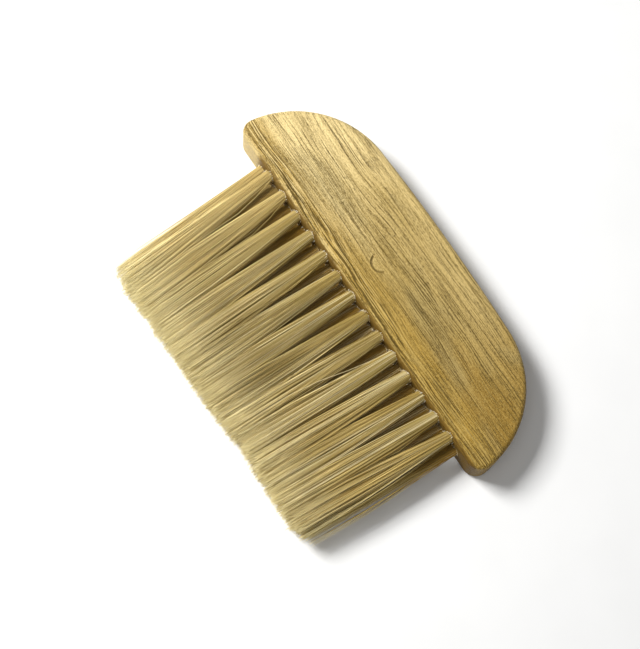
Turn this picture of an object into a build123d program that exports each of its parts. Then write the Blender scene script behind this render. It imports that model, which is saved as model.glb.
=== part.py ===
from build123d import *
import math
import os

# Flat neck duster brush: a crescent wooden handle block with three staggered rows of soft tufts.
# The brush lies flat. X runs along the handle, Y from the tuft tips to the crown, Z is up.
# The origin is under the middle of the whole brush, on the surface that it lies on.

# Handle block
handle_length = 145.0
handle_width = 38.35
handle_thickness = 14.0
crown_radius = 842.0
shoulder_radius = 36.2
corner_radius = 4.9
edge_radius = 1.6

# Tufts and the holes that hold them
tufts_in_outer_row = 14
tufts_in_middle_row = tufts_in_outer_row + 1
root_pitch = 8.37
root_offset = 2.35
root_bow = 1.0
row_spacing = 4.2
hole_radius = 2.2
hole_depth = 12.0
hole_clearance = 0.08
fold_gap = 0.6

# The tufts spread to soft tips, and the whole pack narrows and leans a little to +X on its way.
# The free length is that of the first tuft, and the trimmed ends run back a little towards +X.
free_length = 62.8
trim_slope = 0.034
tip_pitch = 7.57
tip_offset = 4.4
tip_width = 7.4
tip_height = 4.0
spread_share = 0.42
spread_width = 7.2
spread_height = 4.0
soft_corner = 1.2
root_flat = 0.02

# Staple anchor: a short flat wire across the bottom of each hole, with both ends in the wood
anchor_length = 5.1
anchor_depth = 1.8
anchor_thickness = 0.35
anchor_slack = 0.02
fold_thickness = 1.2

# Crescent dent in the top face
dent_radius = 3.6
dent_groove_radius = 0.55
dent_depth = 0.32
dent_x = -4.6
dent_from_bristle_edge = 14.6
dent_start_angle = 195.0
dent_sweep_angle = 140.0

# Levels that follow from the sizes above
overall_depth = handle_width + free_length
bristle_edge_y = free_length - overall_depth / 2
half_field = root_pitch * (tufts_in_outer_row - 1) / 2
first_tip_x = tip_offset - tip_pitch * (tufts_in_middle_row - 1) / 2
middle_z = handle_thickness / 2
rows = {
    "front": (tufts_in_outer_row, middle_z + row_spacing),
    "middle": (tufts_in_middle_row, middle_z),
    "back": (tufts_in_outer_row, middle_z - row_spacing),
}
tuft_half = hole_radius - hole_clearance
fold_y = bristle_edge_y + hole_depth - fold_gap
anchor_y = fold_y - fold_thickness - anchor_depth / 2


def tangent_circle_centre():
    """Centre of the shoulder circle, which touches the crown circle and the corner circle from inside."""
    crown_y = handle_width - crown_radius
    corner_x = handle_length / 2 - corner_radius
    from_crown = crown_radius - shoulder_radius
    from_corner = shoulder_radius - corner_radius
    across = corner_x
    along = corner_radius - crown_y
    reach = math.hypot(across, along)
    share = (from_crown**2 - from_corner**2 + reach**2) / (2 * reach)
    offset = math.sqrt(from_crown**2 - share**2)
    foot_x = across * share / reach
    foot_y = crown_y + along * share / reach
    return foot_x - along / reach * offset, foot_y + across / reach * offset


def point_on(centre, toward, radius):
    """Point at a radius from a centre, in the direction from one point to another."""
    start, end = toward
    length = math.hypot(end[0] - start[0], end[1] - start[1])
    along_x = (end[0] - start[0]) / length
    along_y = (end[1] - start[1]) / length
    return centre[0] + along_x * radius, centre[1] + along_y * radius


def handle_outline():
    """Plan of the handle from tangent arcs, the same on both sides, with a straight bristle edge."""
    crown = (0.0, handle_width - crown_radius)
    shoulder = tangent_circle_centre()
    corner = (handle_length / 2 - corner_radius, corner_radius)
    crown_end = point_on(crown, (crown, shoulder), crown_radius)
    shoulder_end = point_on(shoulder, (shoulder, corner), shoulder_radius)
    shoulder_mid_aim = (
        (crown_end[0] + shoulder_end[0]) / 2,
        (crown_end[1] + shoulder_end[1]) / 2,
    )
    shoulder_mid = point_on(shoulder, (shoulder, shoulder_mid_aim), shoulder_radius)
    edge_end = (corner[0], 0.0)
    corner_mid_aim = ((shoulder_end[0] + edge_end[0]) / 2, (shoulder_end[1] + edge_end[1]) / 2)
    corner_mid = point_on(corner, (corner, corner_mid_aim), corner_radius)
    edges = []
    for side in (1, -1):
        shoulder_points = [(side * x, y) for x, y in (crown_end, shoulder_mid, shoulder_end)]
        corner_points = [(side * x, y) for x, y in (shoulder_end, corner_mid, edge_end)]
        edges.append(ThreePointArc(*shoulder_points))
        edges.append(ThreePointArc(*corner_points))
    edges.append(ThreePointArc((-crown_end[0], crown_end[1]), (0, handle_width), crown_end))
    edges.append(Line((-edge_end[0], 0), edge_end))
    return make_face(edges)


def tuft_places(row):
    """X at the root, X at the tips and Z of each tuft in a row. The holes bunch a little towards +X."""
    count, z = rows[row]
    places = []
    for index in range(count):
        from_middle = index - (count - 1) / 2
        even_x = root_pitch * from_middle
        root_x = root_offset + even_x + root_bow * (1 - (even_x / half_field) ** 2)
        tip_x = tip_offset + tip_pitch * from_middle
        places.append((root_x, tip_x, z))
    return places


def along_y(x, y, z):
    """Plane across the tufts at a point: its own x is X, and its normal points to the tips."""
    return Plane(origin=(x, y, z), x_dir=(1, 0, 0), z_dir=(0, -1, 0))


def anchor(x, z, slack=0.0):
    """One flat wire anchor across its hole, grown by a slack where it is used as a cutter."""
    size = (anchor_length + slack, anchor_depth + slack, anchor_thickness + slack)
    return Pos(x, anchor_y, z) * Box(*size)


def hole(x, z):
    """Blind hole, drilled from the bristle edge, with the two nicks that its anchor bites."""
    mouth = Pos(x, bristle_edge_y, z) * Rot(X=-90)
    bore = mouth * Cylinder(hole_radius, hole_depth, align=(Align.CENTER, Align.CENTER, Align.MIN))
    return bore + anchor(x, z, anchor_slack)


def crescent_dent():
    """Shallow groove in the shape of a new moon, pressed into the top face."""
    centre_y = bristle_edge_y + dent_from_bristle_edge
    groove_z = handle_thickness + dent_groove_radius - dent_depth
    arc = CenterArc((0, 0), dent_radius, dent_start_angle, dent_sweep_angle)
    section = Plane(origin=arc @ 0, z_dir=arc % 0) * Circle(dent_groove_radius)
    groove = sweep(section, path=arc)
    groove += Pos(*(arc @ 0)) * Sphere(dent_groove_radius)
    groove += Pos(*(arc @ 1)) * Sphere(dent_groove_radius)
    return Pos(dent_x, centre_y, groove_z) * groove


def handle_block():
    """Wooden block with rounded edges, the drilled holes and the dent."""
    block = extrude(handle_outline(), handle_thickness)
    block = Pos(0, bristle_edge_y, 0) * block
    rims = block.edges().filter_by(lambda edge: edge.bounding_box().size.Z < edge_radius)
    block = fillet(rims, edge_radius)
    block -= [hole(root_x, z) for row in rows for root_x, tip_x, z in tuft_places(row)]
    return block - crescent_dent()


def tuft(root_x, tip_x, z):
    """Bundle of filament, folded over its anchor in the hole and spreading to soft tips."""
    root_size = 2 * tuft_half
    root_corner = tuft_half - root_flat
    length = free_length - trim_slope * (tip_x - first_tip_x)
    tip_y = bristle_edge_y - length
    spread_x = root_x + (tip_x - root_x) * spread_share
    spread_y = bristle_edge_y - length * spread_share
    stations = [
        (root_x, fold_y, root_size, root_size, root_corner),
        (root_x, bristle_edge_y, root_size, root_size, root_corner),
        (spread_x, spread_y, spread_width, spread_height, soft_corner),
        (tip_x, tip_y, tip_width, tip_height, soft_corner),
    ]
    sections = []
    for x, y, width, height, corner in stations:
        sections.append(along_y(x, y, z) * RectangleRounded(width, height, corner))
    return loft(sections, ruled=True) - anchor(root_x, z, anchor_slack)


def anchor_row(row):
    """All the anchors of a row, as separate solids."""
    return Compound(children=[anchor(root_x, z) for root_x, tip_x, z in tuft_places(row)])


os.makedirs("parts", exist_ok=True)
export_step(handle_block(), "parts/handle_block.step")
for row in rows:
    for number, place in enumerate(tuft_places(row), start=1):
        export_step(tuft(*place), f"parts/tuft_{row}_{number:02d}.step")
    export_step(anchor_row(row), f"parts/anchors_{row}_row.step")
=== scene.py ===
import math

import bpy
import numpy as np
from mathutils import Matrix, Vector


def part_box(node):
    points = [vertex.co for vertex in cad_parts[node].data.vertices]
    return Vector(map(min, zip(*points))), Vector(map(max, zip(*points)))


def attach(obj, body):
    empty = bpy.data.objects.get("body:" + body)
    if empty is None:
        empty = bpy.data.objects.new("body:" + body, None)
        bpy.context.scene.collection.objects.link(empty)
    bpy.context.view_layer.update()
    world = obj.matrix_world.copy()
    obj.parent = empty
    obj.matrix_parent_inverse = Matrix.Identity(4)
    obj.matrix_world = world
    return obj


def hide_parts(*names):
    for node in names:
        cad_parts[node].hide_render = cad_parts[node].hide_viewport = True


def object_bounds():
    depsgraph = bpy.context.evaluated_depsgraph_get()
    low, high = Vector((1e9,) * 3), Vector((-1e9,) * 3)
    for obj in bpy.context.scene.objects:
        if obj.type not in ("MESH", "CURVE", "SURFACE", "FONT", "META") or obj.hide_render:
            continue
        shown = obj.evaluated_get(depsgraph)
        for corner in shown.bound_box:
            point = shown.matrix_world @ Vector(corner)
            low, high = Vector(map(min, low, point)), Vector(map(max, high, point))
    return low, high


# Looks of the flat neck duster brush: a lacquered wooden block and 43 tufts of real filaments.
# Lengths are in metres. X runs along the handle, the tufts point to -Y, and Z is up.

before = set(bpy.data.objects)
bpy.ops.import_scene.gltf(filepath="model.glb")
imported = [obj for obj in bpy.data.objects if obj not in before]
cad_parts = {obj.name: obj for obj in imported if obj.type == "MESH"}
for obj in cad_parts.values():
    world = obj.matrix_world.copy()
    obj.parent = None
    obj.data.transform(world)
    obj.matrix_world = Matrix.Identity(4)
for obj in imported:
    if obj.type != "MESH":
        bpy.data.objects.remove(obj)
cad_low, cad_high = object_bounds()
bristle_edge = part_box("handle_block")[0].y

MM = 0.001

# Seeds of the random draws
SEED = 7
ROW_SEEDS = {"front": 5, "middle": 6, "back": 4}
RIM_SEED = 14

# Filaments: how thick they are, how close they lie in the hole, and how they spread to their tips.
# Stations and shares of the length run from 0 at the mouth of the hole to 1 at the tips.
FILAMENT_SPACING = 0.205 * MM
FILAMENT_RADIUS = 0.095 * MM
TIP_RADIUS = 0.045 * MM
THINNING = (0.5, 1.0)
TUBE_SIDES = 3
TUBE_TURN = 1.7
HEXAGON_ROW = math.sqrt(3) / 2
SECTION_REACH = 0.02 * MM
LEG_STATIONS = (0.0, 0.05, 0.14, 0.28, 0.45, 0.64, 0.83, 1.0)
FOLD_ANGLES = (45.0, 90.0, 135.0)
SPREAD_SHARE = 0.60
SQUARENESS = 4.0
SPREAD_JITTER = 0.07
SPREAD_PROUD = np.array((1.12, 1.10))
FAN_BULGE = 0.12
CRISSCROSS_SHARE = 0.05

# Clumps of filaments within a tuft, and how far they wander
CLUMPS = 26
CLUMP_PULL = 0.42
CLUMP_ONSET = (0.08, 0.5)
CLUMP_RELEASE = (0.7, 1.0)
CLUMP_RELEASED = 0.55
CLUMP_SWAY = 0.27 * MM
CLUMP_TONE_SHARE = 0.4
WANDER = 0.07 * MM
WANDER_TURNS = (0.2, 0.7)
STRAY_SHARE = 0.02
STRAY_SWAY = 0.8 * MM

# A few filaments bow out of the side of a tuft near its root and cross the gap beside it
CROSSING_SHARE = 0.006
CROSSING_SIDE = 0.4
CROSSING_BOW = 2.2 * MM
CROSSING_REACH = 0.55

# How free the +X side of each row's last tuft is. It keeps in, except for a few loose filaments.
LAST_LOOSE = {"front": 0.4, "middle": 1.0, "back": 0.7}
FREE_SHRINK = 0.70
LOOSE_SHARE = 0.16
LOOSE_SIDE = 0.2
LOOSE_DRIFT = 2.2 * MM
LOOSE_DRIFT_RANGE = (-0.4, 1.0)
LOOSE_BOWS = (1.3, 2.2)
LOOSE_LOSS = 2.2 * MM

# The first tufts are a little free on their -X side. They fan out late, and flare at their tips.
FIRST_LOOSE = -0.25
FIRST_SPREAD_SHARE = 0.92
FIRST_FLARE = 0.6 * MM

# The tufts at the -X end are calm and even, and the rest are livelier
CALM_X = (-52 * MM, 12 * MM)
CALM_PULL = 0.10

# Ends of the filaments: how much shorter than the CAD tufts they are, with a dip in the trimmed edge
TRIM_LOSS = 0.9 * MM
TRIM_WOBBLE = 0.60 * MM
CLUMP_WOBBLE = 0.55 * MM
TUFT_WOBBLE = 0.25 * MM
TRIM_DOME = 0.5 * MM
TRIM_DIP = 1.1 * MM
TRIM_DIP_X = 20 * MM
TRIM_DIP_WIDTH = 9 * MM
SHORT_SHARE = 0.16
SHORT_LOSS = 5.0 * MM

# Nothing hangs lower than this above the floor
FLOOR_GAP = 0.2 * MM

# Splinters and thin raised lips that the drill leaves around the mouths of the holes.
# Their arcs are in half turns from +X over the top of the hole.
RIM_CLEARANCE = 0.14 * MM
RIM_DEPTH = 2 * MM
SPLINTERS_PER_HOLE = 14
SPLINTER_ARC = (-0.15, 1.15)
SPLINTER_SCATTER = 0.25 * MM
SPLINTER_LENGTH = 0.9 * MM
SPLINTER_RADIUS = 0.13 * MM
SPLINTER_LEAN = 0.35
SPLINTER_OUT = np.array((0.0, -0.9, 0.0))
SPLINTER_BEND = 0.45
SPLINTER_ROOT = -0.15
SPLINTER_STATIONS = 5
LIPS_PER_HOLE = 2
LIP_ARC = (0.1, 0.9)
LIP_HALF_ANGLE = (0.25, 0.6)
LIP_RADIUS = 0.09 * MM
LIP_STATIONS = 9

# The crescent dent in the top face, in millimetres
DENT_X = -4.6
DENT_FROM_EDGE = 14.6
DENT_RADIUS = 3.6
DENT_HIGHLIGHT_INSET = 0.75

# Tones of the wood, and how far its grain sways across the block, in millimetres
PALE_WOOD = (0.87, 0.68, 0.315)
MIDDLE_WOOD = (0.46, 0.322, 0.100)
TAN_WOOD = (0.315, 0.182, 0.029)
DEEP_WOOD = (0.22, 0.140, 0.028)
GOLDEN_WOOD = (0.49, 0.300, 0.046)
GREY_WOOD = (0.38, 0.300, 0.130)
DARK_WOOD = (0.075, 0.048, 0.009)
HONEY_WOOD = (0.56, 0.400, 0.125)
FURROW_WOOD = (0.100, 0.062, 0.012)
# Painted shade for the drilled face and the lower sides toward +X, and painted light for the -X end of the
# drilled face
SHADED_DRILLED_WOOD = (0.125, 0.066, 0.008)
LIT_DRILLED_WOOD = (0.72, 0.57, 0.27)
SHADED_SIDE_WOOD = (0.17, 0.100, 0.020)
GRAIN_SWAY = 8.0

# Camera: tilted from straight down, towards +X and towards the tufts. It aims beside the bristle edge.
CAMERA_AIM = Vector((0.93, -13.79, 7.0)) * MM
CAMERA_DISTANCE = 483.7 * MM
TILT_ALONG_HANDLE = math.radians(12.2)
TILT_TO_TUFTS = math.radians(11.74)
HANDLE_ANGLE = math.radians(-55.84)
SENSOR_WIDTH = 36.0
LENS = 80.53

# Floor and light. The key light stands to the left of the brush, as the camera sees it, up and near.
FLOOR_HALF = 1.5
KEY_LEFT, KEY_UP, KEY_NEAR = 0.72, 0.66, 0.85
KEY_DISTANCE = 0.75
KEY_SIZE = 0.28
KEY_POWER = 8.0
TOP_DISTANCE = 1.1
TOP_SIZE = 0.9
TOP_POWER = 2.2
SURROUND_STRENGTH = 0.14


# ---------------------------------------------------------------- materials


class Shader:
    """A material's node tree, with short calls for the nodes that these materials need."""

    def __init__(self, name):
        self.material = bpy.data.materials.new(name)
        self.material.use_nodes = True
        self.tree = self.material.node_tree
        self.surface = self.tree.nodes["Principled BSDF"]

    def node(self, kind, **settings):
        made = self.tree.nodes.new("ShaderNode" + kind)
        for name, value in settings.items():
            setattr(made, name, value)
        return made

    def feed(self, socket, value):
        if isinstance(value, bpy.types.NodeSocket):
            self.tree.links.new(value, socket)
        else:
            socket.default_value = value

    def place(self, stretch, offset=(0, 0, 0), source=None):
        """Place in millimetres, divided by the length of a feature along each axis.
        It is the place in the object, unless there is another source, in millimetres."""
        mapping = self.node("Mapping")
        unit = 1.0
        if source is None:
            source = self.node("TexCoord").outputs["Object"]
            unit = MM
        self.feed(mapping.inputs["Vector"], source)
        mapping.inputs["Scale"].default_value = [1 / unit / length for length in stretch]
        mapping.inputs["Location"].default_value = offset
        return mapping.outputs["Vector"]

    def axes(self):
        """X, Y and Z in the object, in millimetres."""
        split = self.node("SeparateXYZ")
        self.feed(split.inputs[0], self.place((1, 1, 1)))
        return split.outputs

    def noise(self, place, detail=3.0, roughness=0.55):
        made = self.node("TexNoise")
        self.feed(made.inputs["Vector"], place)
        made.inputs["Scale"].default_value = 1.0
        made.inputs["Detail"].default_value = detail
        made.inputs["Roughness"].default_value = roughness
        return made.outputs["Fac"]

    def maths(self, operation, first, second=0.0, third=0.0):
        made = self.node("Math", operation=operation)
        for socket, value in zip(made.inputs, (first, second, third)):
            self.feed(socket, value)
        return made.outputs[0]

    def times(self, first, second):
        return self.maths("MULTIPLY", first, second)

    def ramp(self, value, start, end, low=0.0, high=1.0):
        """Value mapped smoothly from start..end to low..high, and held there outside."""
        made = self.node("MapRange", interpolation_type="SMOOTHSTEP")
        for name, number in (
            ("Value", value),
            ("From Min", start),
            ("From Max", end),
            ("To Min", low),
            ("To Max", high),
        ):
            self.feed(made.inputs[name], number)
        return made.outputs["Result"]

    def above(self, value, level, width):
        """Share from 0 where the value is at a level to 1 where it is a width above it."""
        return self.ramp(self.maths("SUBTRACT", value, level), 0.0, width)

    def blend(self, share, first, second):
        """Second colour over the first, by a share."""
        made = self.node("Mix", data_type="RGBA", blend_type="MIX")
        colours = [s for s in made.inputs if s.type == "RGBA"]
        self.feed(made.inputs["Factor"], share)
        for socket, colour in zip(colours, (first, second)):
            self.feed(socket, colour if isinstance(colour, bpy.types.NodeSocket) else (*colour, 1))
        return next(s for s in made.outputs if s.type == "RGBA")

    def bump(self, height, distance, strength):
        made = self.node("Bump")
        made.inputs["Strength"].default_value = strength
        made.inputs["Distance"].default_value = distance
        self.feed(made.inputs["Height"], height)
        self.feed(self.surface.inputs["Normal"], made.outputs["Normal"])

    def finish(self, colour, roughness, **constants):
        self.feed(self.surface.inputs["Base Color"], colour)
        self.feed(self.surface.inputs["Roughness"], roughness)
        for name, value in constants.items():
            label = name.replace("_", " ").title().replace("Ior", "IOR")
            self.surface.inputs[label].default_value = value
        return self.material


class WoodShader(Shader):
    """Satin lacquer on a pale open-grained timber whose grain runs along the handle."""

    def __init__(self):
        super().__init__("lacquered_wood")
        self.x, y, self.z = self.axes()
        self.from_edge = self.maths("SUBTRACT", y, bristle_edge / MM)

        # The grain wanders slowly across the block, and a little more near the bristle edge
        self.sway = self.noise(self.place((80, 20, 14)), 2.0)
        ripple = self.noise(self.place((11, 4, 6), (5, 2, 0)), 1.0)
        near_edge = self.ramp(self.from_edge, 4.0, 12.0, 0.75, 0.25)
        grain_y = self.maths("MULTIPLY_ADD", self.sway, GRAIN_SWAY, y)
        grain_y = self.maths("MULTIPLY_ADD", ripple, near_edge, grain_y)
        grain = self.node("CombineXYZ")
        for socket, value in zip(grain.inputs, (self.x, grain_y, self.z)):
            self.feed(socket, value)
        self.grain = grain.outputs[0]

        self.broad = self.noise(self.along_grain((80, 6.0, 6.0)), 2.0)
        self.fibre = self.noise(self.along_grain((14, 0.30, 0.30)), 3.0, 0.65)
        self.patches = self.noise(self.along_grain((22, 4, 6), (3.1, 0, 0)), 3.0)
        self.cloud = self.noise(self.place((30, 11, 10), (0, 6.2, 0)), 2.0)
        self.speckle = self.noise(self.place((0.60, 0.34, 0.34)), 1.0)
        self.wandering_x = self.maths("MULTIPLY_ADD", self.broad, 60.0, self.x)
        self.bright = self.blend(self.ramp(self.wandering_x, -20.0, 50.0), PALE_WOOD, HONEY_WOOD)

    def along_grain(self, stretch, offset=(0, 0, 0)):
        return self.place(stretch, offset, self.grain)

    def ground(self):
        """Pale at the -X end, deeper at the +X end, greyer in places, golden at the bristle edge, and with
        painted light toward the crown."""
        colour = self.blend(self.ramp(self.wandering_x, -30.0, 34.0), PALE_WOOD, MIDDLE_WOOD)
        colour = self.blend(self.ramp(self.wandering_x, 36.0, 96.0), colour, TAN_WOOD)
        colour = self.blend(self.ramp(self.cloud, 0.50, 0.68, 0.0, 0.50), colour, GREY_WOOD)
        colour = self.blend(self.ramp(self.patches, 0.48, 0.70, 0.0, 0.32), colour, DEEP_WOOD)
        gold_reach = self.maths("MULTIPLY_ADD", self.broad, -10.0, self.from_edge)
        colour = self.blend(self.ramp(gold_reach, -1.0, 8.0, 0.75, 0.0), colour, GOLDEN_WOOD)
        # Painted light: the wood toward the crown is paled, most between about x 0 and 22 mm
        crown = self.times(self.ramp(self.from_edge, 16.0, 34.0), self.ramp(self.x, -30.0, 0.0, 0.0, 0.36))
        crown = self.times(crown, self.ramp(self.x, 22.0, 55.0, 1.0, 0.15))
        return self.blend(crown, colour, PALE_WOOD)

    def grain_marks(self, colour):
        """Growth bands, pale and dark fibres, long dark hairlines, open pores in short dashes, and speckle.
        It also gives the depth of the hairlines and of the pores."""
        bands = self.noise(self.along_grain((60, 1.5, 1.5), (7, 0, 0)), 3.0, 0.6)
        lines = self.noise(self.along_grain((30, 0.36, 0.36), (0, 9, 2)), 2.0, 0.5)
        fleck = self.noise(self.along_grain((1.8, 0.20, 0.20)), 2.0, 0.6)
        colour = self.blend(self.ramp(bands, 0.36, 0.56, 0.26, 0.0), colour, DEEP_WOOD)
        colour = self.blend(self.ramp(self.fibre, 0.36, 0.52, 0.50, 0.0), colour, DEEP_WOOD)
        colour = self.blend(self.ramp(self.fibre, 0.52, 0.66, 0.0, 0.42), colour, self.bright)
        hairlines = self.above(lines, self.ramp(self.cloud, 0.35, 0.65, 0.61, 0.565), 0.04)
        colour = self.blend(self.times(hairlines, 0.80), colour, DARK_WOOD)
        pores = self.above(fleck, self.ramp(self.patches, 0.35, 0.65, 0.59, 0.52), 0.08)
        pores = self.times(pores, self.ramp(self.fibre, 0.56, 0.44))
        colour = self.blend(self.times(pores, 0.75), colour, DARK_WOOD)
        colour = self.blend(self.ramp(self.speckle, 0.36, 0.52, 0.36, 0.0), colour, DEEP_WOOD)
        colour = self.blend(self.ramp(self.speckle, 0.52, 0.66, 0.0, 0.36), colour, self.bright)
        return colour, hairlines, pores

    def edge_marks(self, colour):
        """A bundle of dark streaks and raised ridge relief just behind the bristle edge, strongest at the
        pale end, with a painted highlight along each ridge, and small chips along the edge. It also gives
        the depth of all three."""
        swayed = self.maths("MULTIPLY_ADD", self.sway, GRAIN_SWAY, self.from_edge)
        from_bundle = self.maths("ABSOLUTE", self.maths("SUBTRACT", swayed, 7.4))
        bundle = self.ramp(from_bundle, 1.2, 4.8, 1.0, 0.0)
        streak = self.noise(self.along_grain((15, 0.42, 0.42), (0, 4, 9)), 2.0, 0.5)
        streaks = self.times(bundle, self.above(streak, self.ramp(self.x, -15.0, 60.0, 0.515, 0.57), 0.05))
        ridge_relief_and_highlight = self.times(bundle, self.ramp(streak, 0.46, 0.38))
        chip = self.noise(self.along_grain((1.5, 0.50, 0.60), (2, 8, 5)), 2.0)
        chips = self.times(self.ramp(chip, 0.56, 0.62), self.ramp(self.from_edge, 4.5, 2.0))
        # Painted highlight: each ridge gets the bright wood tone
        colour = self.blend(self.times(ridge_relief_and_highlight, 0.70), colour, self.bright)
        colour = self.blend(self.times(chips, 0.60), colour, FURROW_WOOD)
        colour = self.blend(self.times(streaks, 0.88), colour, FURROW_WOOD)
        return colour, streaks, ridge_relief_and_highlight, chips

    def dent_marks(self, colour):
        """Painted shade along the crescent dent, which lies on a circle, and a painted highlight on a line
        inside that circle.
        """
        x = self.maths("SUBTRACT", self.x, DENT_X)
        y = self.maths("SUBTRACT", self.from_edge, DENT_FROM_EDGE)
        from_middle = self.maths("SQRT", self.maths("MULTIPLY_ADD", x, x, self.times(y, y)))
        shown = self.times(self.ramp(y, -0.9, -2.2), self.ramp(self.z, 13.2, 13.6))
        shown = self.times(shown, self.ramp(self.speckle, 0.25, 0.55, 0.45, 1.0))
        # Painted highlight on the inner line, and painted shade on the dent's circle
        for radius, tone, share in (
            (DENT_RADIUS - DENT_HIGHLIGHT_INSET, self.bright, 0.6),
            (DENT_RADIUS, DARK_WOOD, 0.75),
        ):
            from_ring = self.maths("ABSOLUTE", self.maths("SUBTRACT", from_middle, radius))
            ring = self.ramp(from_ring, 0.10, 0.50, share, 0.0)
            colour = self.blend(self.times(ring, shown), colour, tone)
        return colour

    def painted_side_shading(self, colour):
        """Painted shade: the drilled face is darkened to brown, and so are the lower sides toward +X.
        Painted light brightens the -X end of the drilled face.
        """
        painted_light_face = self.times(self.ramp(self.from_edge, 1.4, 0.3), self.ramp(self.x, -57.0, -61.0))
        face = self.times(self.ramp(self.from_edge, 1.5, 0.5), self.ramp(self.x, -61.0, -57.0))
        side = self.times(self.ramp(self.z, 12.6, 10.0), self.ramp(self.x, 0.0, 60.0))
        colour = self.blend(self.times(painted_light_face, 0.6), colour, LIT_DRILLED_WOOD)
        colour = self.blend(self.times(face, 0.85), colour, SHADED_DRILLED_WOOD)
        return self.blend(self.times(side, 0.55), colour, SHADED_SIDE_WOOD)


def wood_material():
    """Lacquered wood of the handle block."""
    s = WoodShader()
    colour, hairlines, pores = s.grain_marks(s.ground())
    colour, streaks, ridge_relief_and_highlight, chips = s.edge_marks(colour)
    colour = s.painted_side_shading(s.dent_marks(colour))
    height = s.times(s.fibre, 1.2)
    for mark, lift in ((pores, -1.0), (hairlines, -1.0), (streaks, -1.3), (ridge_relief_and_highlight, 0.5), (chips, -1.0)):
        height = s.maths("MULTIPLY_ADD", mark, lift, height)
    s.bump(height, 0.075 * MM, 0.8)
    roughness = s.ramp(s.fibre, 0.3, 0.7, 0.60, 0.46)
    return s.finish(colour, roughness, specular_ior_level=0.14, coat_weight=0.04, coat_roughness=0.3)


def raw_wood_and_glint_material():
    """Torn wood fibre without lacquer, in its own pale tone, and at its palest a painted glint for the hole
    rims.
    """
    s = Shader("raw_wood_fibre_and_glint")
    tone = s.noise(s.place((1.4, 0.9, 0.9)), 2.0)
    # Painted glint: the pale end of this blend is brighter than the fibre's own tone
    colour = s.blend(s.ramp(tone, 0.35, 0.65), (0.60, 0.43, 0.16), (1.0, 0.94, 0.72))
    s.bump(tone, 0.02 * MM, 0.5)
    return s.finish(colour, s.ramp(tone, 0.3, 0.7, 0.75, 0.55), specular_ior_level=0.3)


def filament_material():
    """Soft blond filament: a warm shadowed root, a paler frayed tip, and each strand a shade of its own."""
    s = Shader("soft_filament")
    along = s.node("Attribute", attribute_name="along").outputs["Fac"]
    shade = s.node("Attribute", attribute_name="shade").outputs["Fac"]
    crimp = s.noise(s.place((0.5, 2.0, 0.5)), 2.0)
    x, _, z = s.axes()

    # The tone changes along the pack, and from the root to the tip of each filament
    root = s.blend(s.ramp(x, -52.0, -25.0), (0.74, 0.555, 0.205), (0.50, 0.360, 0.100))
    body = s.blend(s.ramp(x, -58.0, -38.0), (0.88, 0.715, 0.325), (0.68, 0.528, 0.208))
    body = s.blend(s.ramp(x, -34.0, -10.0), body, (0.51, 0.387, 0.140))
    body = s.blend(s.ramp(x, 4.0, 36.0), body, (0.68, 0.515, 0.180))
    tip = s.blend(s.ramp(x, -50.0, 60.0), (0.91, 0.785, 0.405), (0.92, 0.785, 0.390))
    colour = s.blend(s.ramp(along, 0.0, 0.5), root, body)
    colour = s.blend(s.ramp(along, 0.60, 1.0), colour, tip)

    # Painted shade: near the handle, the filaments low in the pack, between and under the front tufts, are
    # darkened to a warm brown, fading out toward the -X end
    from_middle = s.maths("ABSOLUTE", s.maths("SUBTRACT", z, (cad_low.z + cad_high.z) / 2 / MM))
    painted_gap_shade = s.times(s.ramp(from_middle, 4.0, 2.8), s.ramp(along, 0.50, 0.05))
    painted_gap_shade = s.times(painted_gap_shade, s.ramp(x, -57.0, -36.0))
    colour = s.blend(s.times(painted_gap_shade, 0.85), colour, (0.42, 0.225, 0.022))

    # Dark strands and light ones, more alike at the -X end, and a faint crimp in each
    life = s.ramp(x, -60.0, 20.0, 0.05, 1.0)
    dark_share = s.times(s.ramp(shade, 0.08, 0.42, 0.85, 0.0), life)
    light_share = s.times(s.ramp(shade, 0.56, 0.84, 0.0, 0.85), life)
    colour = s.blend(dark_share, colour, (0.28, 0.168, 0.030))
    colour = s.blend(light_share, colour, (0.96, 0.84, 0.48))
    colour = s.blend(s.ramp(crimp, 0.35, 0.7, 0.12, 0.0), colour, (0.45, 0.32, 0.14))
    s.bump(crimp, 0.01 * MM, 0.4)
    return s.finish(colour, s.ramp(crimp, 0.3, 0.7, 0.50, 0.38), specular_ior_level=0.2)


def wire_material():
    """Drawn steel wire of the staple anchors."""
    s = Shader("anchor_steel")
    drawn = s.noise(s.place((2.0, 0.08, 0.08)), 3.0, 0.6)
    colour = s.blend(s.ramp(drawn, 0.3, 0.7), (0.42, 0.41, 0.39), (0.60, 0.59, 0.56))
    s.bump(drawn, 0.01 * MM, 0.5)
    return s.finish(colour, s.ramp(drawn, 0.3, 0.7, 0.42, 0.26), metallic=1.0)


def floor_material():
    """Plain matt white surface."""
    s = Shader("floor_white")
    speck = s.noise(s.place((30, 30, 30)), 2.0)
    colour = s.blend(s.ramp(speck, 0.3, 0.7), (0.90, 0.90, 0.89), (0.92, 0.92, 0.91))
    return s.finish(colour, 0.75, specular_ior_level=0.2)


# ---------------------------------------------------------------- filaments


def section(node, y):
    """Middle and half size, in X and Z, of a CAD node's section at a height along Y."""
    corners = np.array([v.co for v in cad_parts[node].data.vertices])
    near = corners[np.abs(corners[:, 1] - y) < SECTION_REACH]
    low, high = near.min(0), near.max(0)
    return (low + high)[[0, 2]] / 2, (high - low)[[0, 2]] / 2


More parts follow.
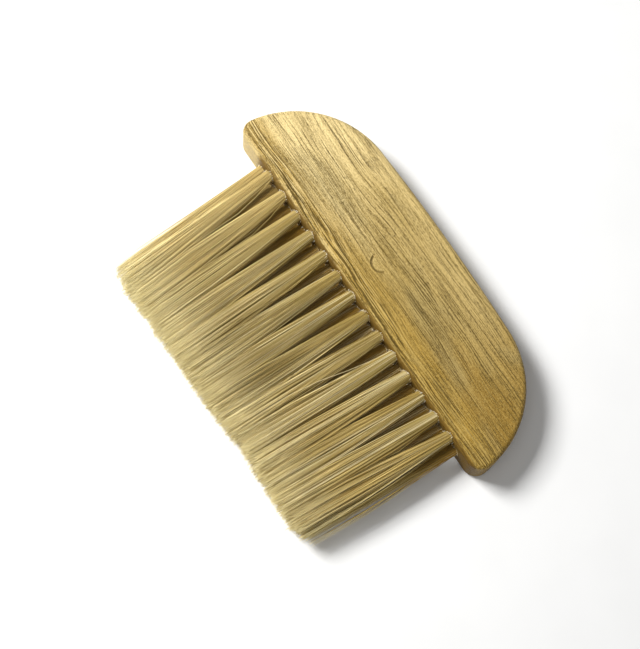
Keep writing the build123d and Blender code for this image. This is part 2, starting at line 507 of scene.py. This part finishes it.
def honeycomb(radius):
    """X and Z of the filaments in the upper half of a hole, packed like a honeycomb. Z is above zero."""
    places = []
    step = FILAMENT_SPACING * HEXAGON_ROW
    for row in range(int(radius / step)):
        z = (row + 0.5) * step
        half = math.sqrt(max(radius**2 - z**2, 0.0))
        shift = FILAMENT_SPACING / 2 * (row % 2)
        count = int((half + shift) / FILAMENT_SPACING) + 1
        for column in range(-count, count + 1):
            x = column * FILAMENT_SPACING + shift
            if abs(x) <= half:
                places.append((x, z))
    return np.array(places)


def smooth(value, start, end):
    """Smooth step from 0 at start to 1 at end."""
    share = np.clip((value - start) / (end - start), 0.0, 1.0)
    return share * share * (3 - 2 * share)


def among_tips(disk, rng):
    """Place of each filament among its tuft's tips, from -1 to 1 in X and Z, from its place in the hole.
    Then the number, the middle and the sway of its clump."""
    count = len(disk)
    angle = np.arctan2(disk[:, 1], disk[:, 0])
    roundness = np.abs(np.cos(angle)) ** SQUARENESS + np.abs(np.sin(angle)) ** SQUARENESS
    square = roundness ** (-1 / SQUARENESS)
    spread = disk * square[:, None] + rng.normal(0, SPREAD_JITTER, (count, 2))
    crisscross = rng.random((count, 1)) < CRISSCROSS_SHARE
    spread = np.where(crisscross, rng.uniform(-1, 1, (count, 2)), spread)
    middles = rng.uniform(-1, 1, (CLUMPS, 2))
    clump = np.argmin(((disk[:, None] - middles[None]) ** 2).sum(2), 1)
    sway = rng.normal(0, CLUMP_SWAY, (CLUMPS, 2))
    return spread, clump, middles[clump], sway[clump]


def wander(t, count, rng):
    """Slow waves of the filaments in X and Z, with larger ones for a few strays."""
    bend = rng.uniform(0, 2 * math.pi, (count, 1, 2))
    turns = rng.uniform(*WANDER_TURNS, (count, 1, 2))
    stray = np.where(rng.random((count, 1, 1)) < STRAY_SHARE, STRAY_SWAY, 0.0)
    size = rng.normal(0, 1, (count, 1, 2)) * (WANDER + stray)
    wave = np.sin(bend + turns * 2 * math.pi * t) - np.sin(bend)
    return wave * size * smooth(t, 0.0, 0.5)


def bow_sideways(x, t, side, spread_x, tip_half_x, loose, rng):
    """Bow some filaments along X, in place: those that cross the gap beside their tuft, and those on the
    free side of the first and the last tufts. It gives how free each filament is."""
    count = len(side)
    crossing = (rng.random(count) < CROSSING_SHARE) & (side > CROSSING_SIDE)
    bow = np.where(crossing, rng.uniform(0.5, 1.0, count) * CROSSING_BOW, 0.0)[:, None]
    x += bow * np.sin(math.pi * np.minimum(t / CROSSING_REACH, 1.0))
    free = (spread_x * loose).clip(0, None)
    drifting = (rng.random(count) < LOOSE_SHARE) & (free > LOOSE_SIDE) & (loose > 0)
    kept_in = free * FREE_SHRINK * tip_half_x * (loose > 0)
    drift = np.where(drifting, rng.uniform(*LOOSE_DRIFT_RANGE, count) * LOOSE_DRIFT, -kept_in)
    x += drift[:, None] * np.sign(loose) * np.sin(t * rng.uniform(*LOOSE_BOWS, (count, 1)))
    if loose < 0:
        x += FIRST_FLARE * spread_x[:, None].clip(None, 0) * t**2
    return free


def trim_loss(tip_x, spread_x, free, clump, rng):
    """How much shorter than its CAD tuft each filament is."""
    count = len(clump)
    loss = TRIM_LOSS + rng.normal(0, TRIM_WOBBLE, count) + rng.normal(0, CLUMP_WOBBLE, CLUMPS)[clump]
    loss += np.where(rng.random(count) < SHORT_SHARE, rng.uniform(0, SHORT_LOSS, count), 0.0)
    loss += TRIM_DOME * spread_x**2 + LOOSE_LOSS * free**2
    loss += TRIM_DIP * np.exp(-(((tip_x - TRIM_DIP_X) / TRIM_DIP_WIDTH) ** 2))
    return loss


def legs(places, reach, root, tip, tip_half, tip_y, loose, rng):
    """Paths of the filaments from the mouth of the hole to their tips, how far along each point is, and
    the number of each filament's clump."""
    disk = places / reach
    spread, clump, clump_middle, sway = among_tips(disk, rng)
    t = np.array(LEG_STATIONS)[None, :, None]
    life = CALM_PULL + (1 - CALM_PULL) * smooth(root[0], *CALM_X)
    pull = CLUMP_PULL * life * smooth(t, *CLUMP_ONSET) * (1 - CLUMP_RELEASED * smooth(t, *CLUMP_RELEASE))
    fan = np.minimum(t / (FIRST_SPREAD_SHARE if loose < 0 else SPREAD_SHARE), 1.0)
    fan = fan + FAN_BULGE * np.sin(math.pi * fan) * disk[:, None, :1].clip(0, 1)
    in_tuft = spread[:, None] * (1 - pull) + clump_middle[:, None] * pull
    across = places[:, None] * (1 - fan) + in_tuft * tip_half * fan
    across = across + root * (1 - t) + tip * t
    across = across + wander(t, len(places), rng) + life * sway[:, None] * smooth(t, 0.1, 1.0)

    t = t[:, :, 0]
    x = across[:, :, 0]
    free = bow_sideways(x, t, disk[:, 0], spread[:, 0], tip_half[0], loose, rng)
    length = bristle_edge - tip_y - trim_loss(x[:, -1], spread[:, 0], free, clump, rng)
    y = bristle_edge - length[:, None] * t
    z = np.abs(across[:, :, 1] - FLOOR_GAP) + FLOOR_GAP
    return np.stack((x, y, z), 2), np.broadcast_to(t, y.shape), clump


def fold(places, reach, root, anchor, fold_y):
    """Paths of the filaments in the hole: up one side of the anchor, over its end and down the other."""
    anchor_low, anchor_high = anchor
    lift = (anchor_high.z - anchor_low.z) / 2 + FILAMENT_RADIUS
    pushed = lift + (reach - lift) * places[:, 1] / reach
    room = (fold_y - FILAMENT_RADIUS - anchor_high.y) * pushed / reach
    x = root[0] + places[:, 0]
    points = []
    for y in (anchor_low.y, anchor_high.y):
        points.append(np.stack((x, np.full_like(x, y), root[1] + pushed), 1))
    for degrees in FOLD_ANGLES:
        turn = math.radians(degrees)
        bend_y = anchor_high.y + room * math.sin(turn)
        points.append(np.stack((x, bend_y, root[1] + pushed * math.cos(turn)), 1))
    for y in (anchor_high.y, anchor_low.y):
        points.append(np.stack((x, np.full_like(x, y), root[1] - pushed), 1))
    return np.stack(points, 1)


def tubes(name, paths, radii, values, axis=0):
    """One mesh of closed thin tubes along many paths, none of which runs along the axis of this number.
    The values are named, one for each point of the paths."""
    count, rings, _ = paths.shape
    forward = np.gradient(paths, axis=1)
    forward /= np.linalg.norm(forward, axis=2, keepdims=True)
    side = np.eye(3)[axis] - forward * forward[:, :, axis : axis + 1]
    side /= np.linalg.norm(side, axis=2, keepdims=True)
    up = np.cross(forward, side)
    turn = np.arange(TUBE_SIDES) * 2 * math.pi / TUBE_SIDES + np.arange(count)[:, None] * TUBE_TURN
    turn = turn[:, None, :, None]
    ring = np.cos(turn) * side[:, :, None] + np.sin(turn) * up[:, :, None]
    corners = paths[:, :, None] + ring * radii[:, :, None, None]

    index = np.arange(count * rings * TUBE_SIDES).reshape(count, rings, TUBE_SIDES)
    after = np.roll(index, -1, 2)
    walls = np.stack((index[:, :-1], after[:, :-1], after[:, 1:], index[:, 1:]), 3).reshape(-1, 4)
    faces = walls.tolist() + index[:, 0, ::-1].tolist() + index[:, -1].tolist()
    mesh = bpy.data.meshes.new(name)
    mesh.from_pydata(corners.reshape(-1, 3), [], faces)
    mesh.polygons.foreach_set("use_smooth", [True] * len(faces))
    for value_name, value in values.items():
        at_points = np.repeat(value.reshape(-1), TUBE_SIDES).astype(np.float32)
        mesh.attributes.new(value_name, "FLOAT", "POINT").data.foreach_set("value", at_points)
    piece = bpy.data.objects.new(name, mesh)
    bpy.context.scene.collection.objects.link(piece)
    return piece


def shades(clumps, rng):
    """Shade of each filament's two halves, from 0 to 1: partly its own and partly its clump's."""
    tone = rng.uniform(0, 1, (2, CLUMPS))
    own = rng.uniform(0, 1, (2, len(clumps[0])))
    own_share = 1 - CLUMP_TONE_SHARE
    return [own_share * own[i] + CLUMP_TONE_SHARE * tone[i][clump] for i, clump in enumerate(clumps)]


def tuft(row, number, loose, material):
    """All the filaments of one tuft, each folded in half over the anchor, in place of its CAD solid.
    Loose says how free the tuft's sides are: above 0 on its +X side, and below 0 on its -X side."""
    node = f"tuft_{row}_{number:02d}"
    rng = np.random.default_rng([SEED, ROW_SEEDS[row], number])
    low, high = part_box(node)
    root, root_half = section(node, high.y)
    tip, tip_half = section(node, low.y)
    reach = root_half[0] - FILAMENT_RADIUS
    places = honeycomb(reach)
    tip_y = low.y + rng.normal(0, TUFT_WOBBLE)
    ends = (root, tip, tip_half * SPREAD_PROUD, tip_y, loose, rng)
    upper, along, upper_clump = legs(places, reach, *ends)
    lower, _, lower_clump = legs(places * (1, -1), reach, *ends)
    inside = fold(places, reach, root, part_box(f"anchors_{row}_row"), high.y)
    paths = np.concatenate((upper[:, ::-1], inside, lower), 1)

    hidden = np.zeros((len(places), inside.shape[1]))
    reached = np.concatenate((along[:, ::-1], hidden, along), 1)
    thin = smooth(reached, *THINNING)
    radii = FILAMENT_RADIUS * (1 - thin) + TIP_RADIUS * thin
    halves = shades((upper_clump, lower_clump), rng)
    points = paths.shape[1]
    shade = np.where(np.arange(points) < points // 2, halves[0][:, None], halves[1][:, None])
    piece = tubes(f"filaments_{row}_{number:02d}", paths, radii, {"along": reached, "shade": shade})
    piece.data.materials.append(material)
    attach(piece, "root")
    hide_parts(node)


# ---------------------------------------------------------------- mouths of the holes


def rim_point(centre, radius, angle):
    """Point on the drilled face beside a hole, at an angle around it. None where there is no such wood."""
    x = centre[0] + radius * math.cos(angle)
    z = centre[1] + radius * math.sin(angle)
    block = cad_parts["handle_block"]
    hit, place, _, _ = block.ray_cast(Vector((x, cad_low.y, z)), Vector((0, 1, 0)))
    return np.array(place) if hit and place.y <= bristle_edge + RIM_DEPTH else None


def splinter(centre, radius, rng):
    """Path of a short bent splinter out of the wood beside a hole. None where there is no wood."""
    angle = rng.uniform(*SPLINTER_ARC) * math.pi
    root = rim_point(centre, radius + rng.uniform(0, SPLINTER_SCATTER), angle)
    lean = rng.normal(0, SPLINTER_LEAN, 3) + SPLINTER_OUT
    bend = rng.normal(0, SPLINTER_BEND, 3)
    length = SPLINTER_LENGTH * rng.uniform(0.3, 1.0)
    if root is None:
        return None
    t = np.linspace(SPLINTER_ROOT, 1.0, SPLINTER_STATIONS)[:, None]
    path = root + length * (lean * t + bend * t * t * 0.5)
    path[:, 2] = path[:, 2].clip(FLOOR_GAP, None)
    return path


def lip(centre, radius, rng):
    """Path of a raised lip along part of a hole's rim. None where some of it has no wood."""
    middle = rng.uniform(*LIP_ARC) * math.pi
    half_angle = rng.uniform(*LIP_HALF_ANGLE)
    angles = middle + np.linspace(-half_angle, half_angle, LIP_STATIONS)
    points = [rim_point(centre, radius, angle) for angle in angles]
    return None if any(point is None for point in points) else np.array(points)


def hole_mouths(material):
    """Splinters that stick out of the mouths of the holes, and thin lips along parts of their rims."""
    rng = np.random.default_rng([SEED, RIM_SEED])
    splinters, lips = [], []
    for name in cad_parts:
        if not name.startswith("tuft_"):
            continue
        centre, half = section(name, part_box(name)[1].y)
        radius = half[0] + RIM_CLEARANCE
        splinters += [splinter(centre, radius, rng) for _ in range(SPLINTERS_PER_HOLE)]
        lips += [lip(centre, radius, rng) for _ in range(LIPS_PER_HOLE)]

    # A splinter tapers to its tip, and a lip to both of its ends
    for name, paths, thickness, start, axis in (
        ("rim_splinters", splinters, SPLINTER_RADIUS, 0, 0),
        ("rim_lips", lips, LIP_RADIUS, -1, 1),
    ):
        paths = np.array([path for path in paths if path is not None])
        along = np.linspace(start, 1, paths.shape[1])
        radii = thickness * (1.15 - np.abs(along)) * rng.uniform(0.6, 1.2, (len(paths), 1))
        piece = tubes(name, paths, radii, {}, axis)
        piece.data.materials.append(material)
        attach(piece, "root")


# ---------------------------------------------------------------- stage


def place_camera(target):
    """Camera above the brush, at the angle at which the handle runs down to the right."""
    back = Vector((math.tan(TILT_ALONG_HANDLE), -math.tan(TILT_TO_TUFTS), 1)).normalized()
    along = Vector((1, 0, 0))
    along = (along - back * along.dot(back)).normalized()
    across = back.cross(along)
    right = along * math.cos(HANDLE_ANGLE) - across * math.sin(HANDLE_ANGLE)
    up = along * math.sin(HANDLE_ANGLE) + across * math.cos(HANDLE_ANGLE)
    data = bpy.data.cameras.new("camera")
    data.sensor_fit = "HORIZONTAL"
    data.sensor_width = SENSOR_WIDTH
    data.lens = LENS
    camera = bpy.data.objects.new("camera", data)
    bpy.context.scene.collection.objects.link(camera)
    turn = Matrix((right, up, back)).transposed().to_4x4()
    camera.matrix_world = Matrix.Translation(target + back * CAMERA_DISTANCE) @ turn
    bpy.context.scene.camera = camera
    return right, up, back


def softbox(name, target, toward, distance, size, power):
    """Square area light that faces the brush."""
    data = bpy.data.lights.new(name, "AREA")
    data.size = size
    data.energy = power
    light = bpy.data.objects.new(name, data)
    bpy.context.scene.collection.objects.link(light)
    direction = toward.normalized()
    light.location = target + direction * distance
    light.rotation_mode = "QUATERNION"
    light.rotation_quaternion = direction.to_track_quat("Z", "Y")


def lay_floor():
    """White floor under the brush."""
    mesh = bpy.data.meshes.new("floor")
    corners = [(x * FLOOR_HALF, y * FLOOR_HALF, 0) for x, y in ((-1, -1), (1, -1), (1, 1), (-1, 1))]
    mesh.from_pydata(corners, [], [(0, 1, 2, 3)])
    floor = bpy.data.objects.new("floor", mesh)
    floor.location.z = cad_low.z
    bpy.context.scene.collection.objects.link(floor)
    mesh.materials.append(floor_material())


def light_stage(target, right, up, back):
    """A large soft key light from the upper left, a wide one from above, and an even pale surround."""
    key_toward = up * KEY_UP - right * KEY_LEFT + back * KEY_NEAR
    softbox("key_light", target, key_toward, KEY_DISTANCE, KEY_SIZE, KEY_POWER)
    softbox("top_light", target, back, TOP_DISTANCE, TOP_SIZE, TOP_POWER)
    world = bpy.data.worlds.new("studio")
    world.use_nodes = True
    background = world.node_tree.nodes["Background"]
    background.inputs["Color"].default_value = (1.0, 1.0, 1.0, 1.0)
    background.inputs["Strength"].default_value = SURROUND_STRENGTH
    bpy.context.scene.world = world
    bpy.context.scene.view_settings.view_transform = "Standard"


# ---------------------------------------------------------------- the brush


def paint(node, material):
    """Give a CAD node its material."""
    for material_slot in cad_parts[node].material_slots:
        material_slot.material = material


target = CAMERA_AIM + Vector((0, bristle_edge, cad_low.z))
right, up, back = place_camera(target)
lay_floor()
light_stage(target, right, up, back)

paint("handle_block", wood_material())
hole_mouths(raw_wood_and_glint_material())

blond = filament_material()
steel = wire_material()
for row in ROW_SEEDS:
    paint(f"anchors_{row}_row", steel)
    last = sum(name.startswith(f"tuft_{row}_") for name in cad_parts)
    for number in range(1, last + 1):
        tuft(row, number, {1: FIRST_LOOSE, last: LAST_LOOSE[row]}.get(number, 0.0), blond)
